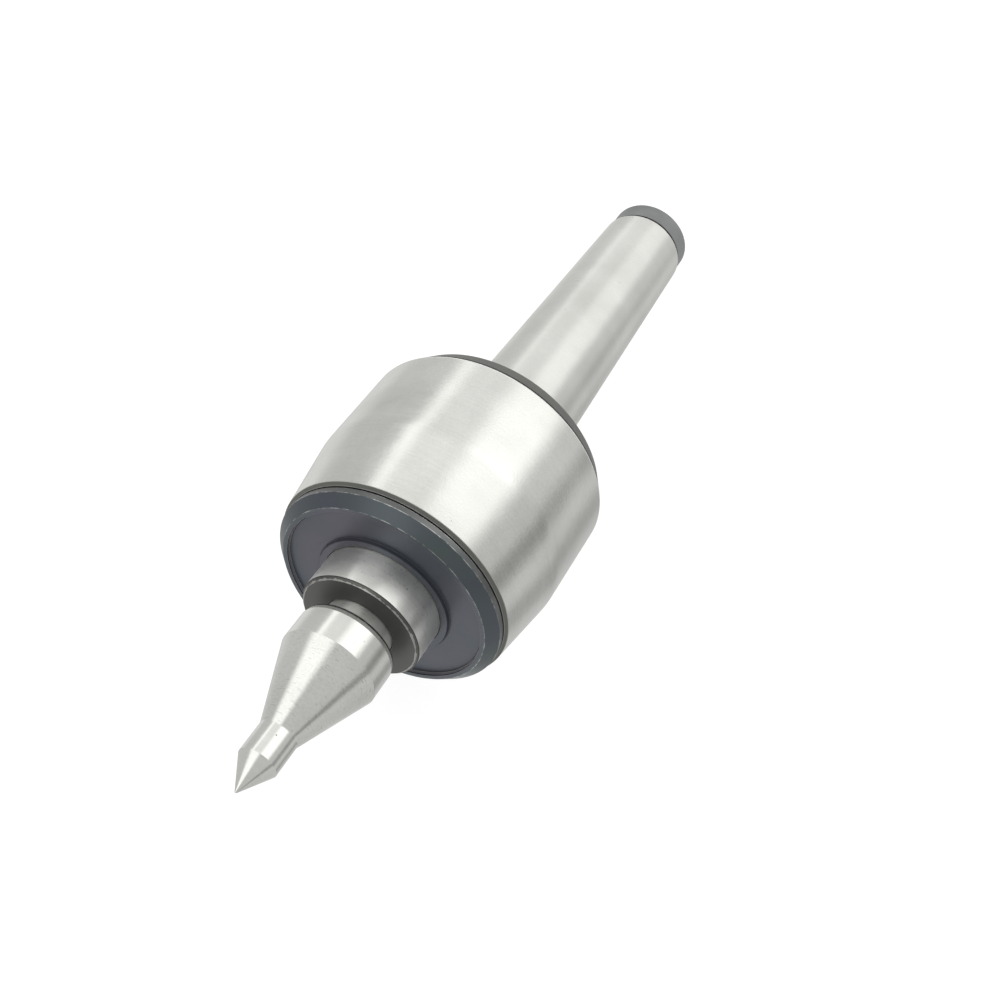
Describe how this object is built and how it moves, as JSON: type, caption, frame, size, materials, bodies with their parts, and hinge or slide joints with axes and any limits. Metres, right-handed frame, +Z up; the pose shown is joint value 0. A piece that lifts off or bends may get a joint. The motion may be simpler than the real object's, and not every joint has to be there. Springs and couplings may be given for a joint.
{
  "type": "live center",
  "caption": "Lathe live center: a tapered shank carries a round bearing housing, and a spindle with a changeable 60 degree point turns in it.",
  "frame": {"origin": "on the rotation axis, at the gauge plane of the Morse taper, 8.5 mm behind the housing's rear face", "axes": "+X along the rotation axis towards the point's tip, +Z up with the tool lying on its housing, +Y to the left seen from behind"},
  "size_m": [0.2327, 0.07, 0.07],
  "materials": {
    "ground_steel": "fine ground, bright",
    "black_oxide_steel": "blue-black oxide, satin",
    "seal_rubber": "matt",
    "spring_steel": "dark spring temper",
    "bearing_steel": "polished",
    "cage_steel": "pressed sheet",
    "spindle_steel": "ground, dark end face",
    "point_steel": "fine ground, bright"
  },
  "bodies": {
    "housing_body": {"housing": "ground_steel", "front_cover": "black_oxide_steel", "cover_o_ring": "seal_rubber", "spindle_seal": "seal_rubber", "seal_garter_spring": "spring_steel", "front_bearing_outer_ring": "bearing_steel", "front_bearing_shields": "cage_steel", "thrust_housing_washer": "bearing_steel", "thrust_cup_spring": "spring_steel", "needle_bearing_cup": "bearing_steel"},
    "spindle_body": {"spindle": "spindle_steel", "front_bearing_inner_ring": "bearing_steel", "spindle_retaining_ring": "spring_steel", "thrust_shaft_washer": "bearing_steel"},
    "point_body": {"center_point": "point_steel"},
    "front_ball_set": {"front_bearing_balls": "bearing_steel", "front_bearing_cage": "cage_steel"},
    "thrust_ball_set": {"thrust_balls": "bearing_steel", "thrust_cage": "cage_steel"},
    "needle_set": {"needle_rollers": "bearing_steel", "needle_cage": "cage_steel"}
  },
  "joints": [
    {"name": "spindle_spin", "type": "hinge", "parent": "housing_body", "child": "spindle_body", "pos_m": [0.04, 0, 0], "axis": [1, 0, 0], "continuous": true},
    {"name": "front_ball_set_spin", "type": "hinge", "parent": "housing_body", "child": "front_ball_set", "pos_m": [0.0475, 0, 0], "axis": [1, 0, 0], "continuous": true},
    {"name": "thrust_ball_set_spin", "type": "hinge", "parent": "housing_body", "child": "thrust_ball_set", "pos_m": [0.0305, 0, 0], "axis": [1, 0, 0], "continuous": true},
    {"name": "needle_set_spin", "type": "hinge", "parent": "housing_body", "child": "needle_set", "pos_m": [-0.001, 0, 0], "axis": [1, 0, 0], "continuous": true},
    {"name": "point_pull_out", "type": "slide", "parent": "spindle_body", "child": "point_body", "axis": [1, 0, 0], "range_m": [0, 0.04]}
  ],
  "couplings": [
    {"joint": "front_ball_set_spin", "follows": "spindle_spin", "ratio": 0.416},
    {"joint": "thrust_ball_set_spin", "follows": "spindle_spin", "ratio": 0.5},
    {"joint": "needle_set_spin", "follows": "spindle_spin", "ratio": 0.445}
  ]
}
